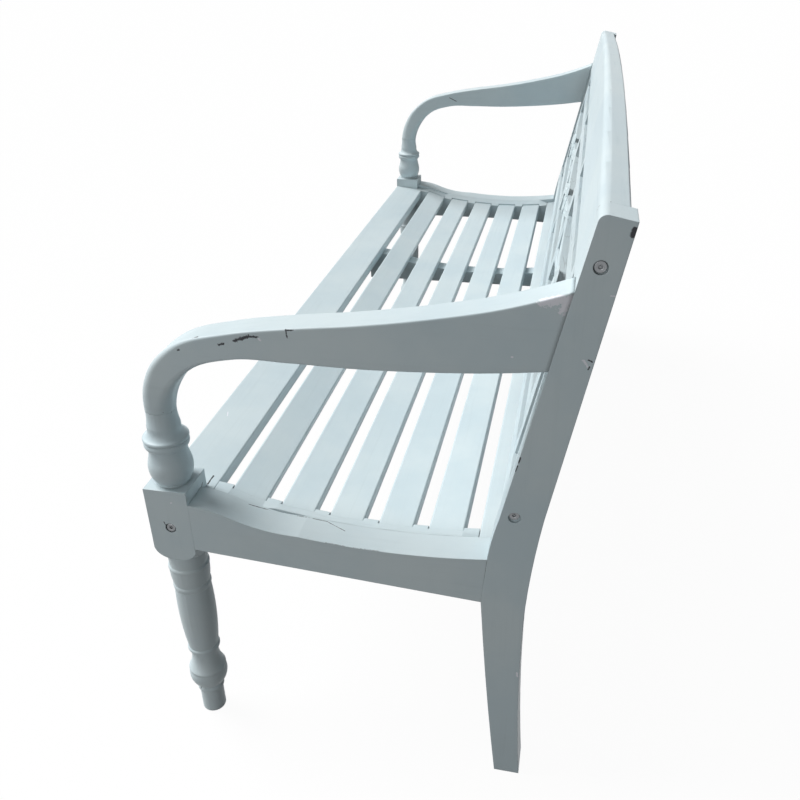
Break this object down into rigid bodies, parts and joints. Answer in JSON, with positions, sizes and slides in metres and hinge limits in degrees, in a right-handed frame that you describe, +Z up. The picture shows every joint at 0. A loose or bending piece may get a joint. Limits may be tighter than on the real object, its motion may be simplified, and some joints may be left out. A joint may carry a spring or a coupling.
{
  "type": "deacons bench",
  "caption": "Long painted bench with turned front legs, sweeping arms, a dished slatted seat and a raked fretwork back under a crowned crest rail.",
  "frame": {"origin": "on the floor under the middle of the bench's bounding box", "axes": "+X along the bench, +Y from the front to the back, +Z up"},
  "size_m": [1.7002, 0.5934, 0.861],
  "materials": {
    "front_post_right": "satin paint, worn at the edges",
    "rear_post_right": "satin paint, worn at the edges",
    "arm_right": "satin paint, worn at the edges",
    "seat_side_rail_right": "satin paint, worn at the edges",
    "slat_bearer_right": "satin paint, worn at the edges",
    "front_post_left": "satin paint, worn at the edges",
    "rear_post_left": "satin paint, worn at the edges",
    "arm_left": "satin paint, worn at the edges",
    "seat_side_rail_left": "satin paint, worn at the edges",
    "slat_bearer_left": "satin paint, worn at the edges",
    "front_seat_rail": "satin paint, worn at the edges",
    "rear_seat_rail": "satin paint, worn at the edges",
    "cross_bearer": "satin paint, worn at the edges",
    "front_seat_board": "satin paint, worn at the edges",
    "seat_slat_1": "satin paint, worn at the edges",
    "seat_slat_2": "satin paint, worn at the edges",
    "seat_slat_3": "satin paint, worn at the edges",
    "seat_slat_4": "satin paint, worn at the edges",
    "seat_slat_5": "satin paint, worn at the edges",
    "rear_seat_board": "satin paint, worn at the edges",
    "crest_rail": "satin paint, worn at the edges",
    "back_bottom_rail": "satin paint, worn at the edges",
    "back_muntin_1": "satin paint, worn at the edges",
    "back_muntin_2": "satin paint, worn at the edges",
    "back_muntin_3": "satin paint, worn at the edges",
    "back_muntin_4": "satin paint, worn at the edges",
    "fret_panel_1": "satin paint, worn at the edges",
    "fret_panel_2": "satin paint, worn at the edges",
    "fret_panel_3": "satin paint, worn at the edges",
    "rosette_1": "satin paint, worn at the edges",
    "rosette_2": "satin paint, worn at the edges",
    "rosette_3": "satin paint, worn at the edges",
    "frame_bolts": "brushed, a little dirty in the sockets",
    "barrel_nuts": "plain turned steel",
    "rail_dowels": "bare hardwood"
  },
  "bodies": {
    "root": {"front_post_right": "front_post_right", "rear_post_right": "rear_post_right", "arm_right": "arm_right", "seat_side_rail_right": "seat_side_rail_right", "slat_bearer_right": "slat_bearer_right", "front_post_left": "front_post_left", "rear_post_left": "rear_post_left", "arm_left": "arm_left", "seat_side_rail_left": "seat_side_rail_left", "slat_bearer_left": "slat_bearer_left", "front_seat_rail": "front_seat_rail", "rear_seat_rail": "rear_seat_rail", "cross_bearer": "cross_bearer", "front_seat_board": "front_seat_board", "seat_slat_1": "seat_slat_1", "seat_slat_2": "seat_slat_2", "seat_slat_3": "seat_slat_3", "seat_slat_4": "seat_slat_4", "seat_slat_5": "seat_slat_5", "rear_seat_board": "rear_seat_board", "crest_rail": "crest_rail", "back_bottom_rail": "back_bottom_rail", "back_muntin_1": "back_muntin_1", "back_muntin_2": "back_muntin_2", "back_muntin_3": "back_muntin_3", "back_muntin_4": "back_muntin_4", "fret_panel_1": "fret_panel_1", "fret_panel_2": "fret_panel_2", "fret_panel_3": "fret_panel_3", "rosette_1": "rosette_1", "rosette_2": "rosette_2", "rosette_3": "rosette_3", "frame_bolts": "frame_bolts", "barrel_nuts": "barrel_nuts", "rail_dowels": "rail_dowels"}
  },
  "joints": []
}
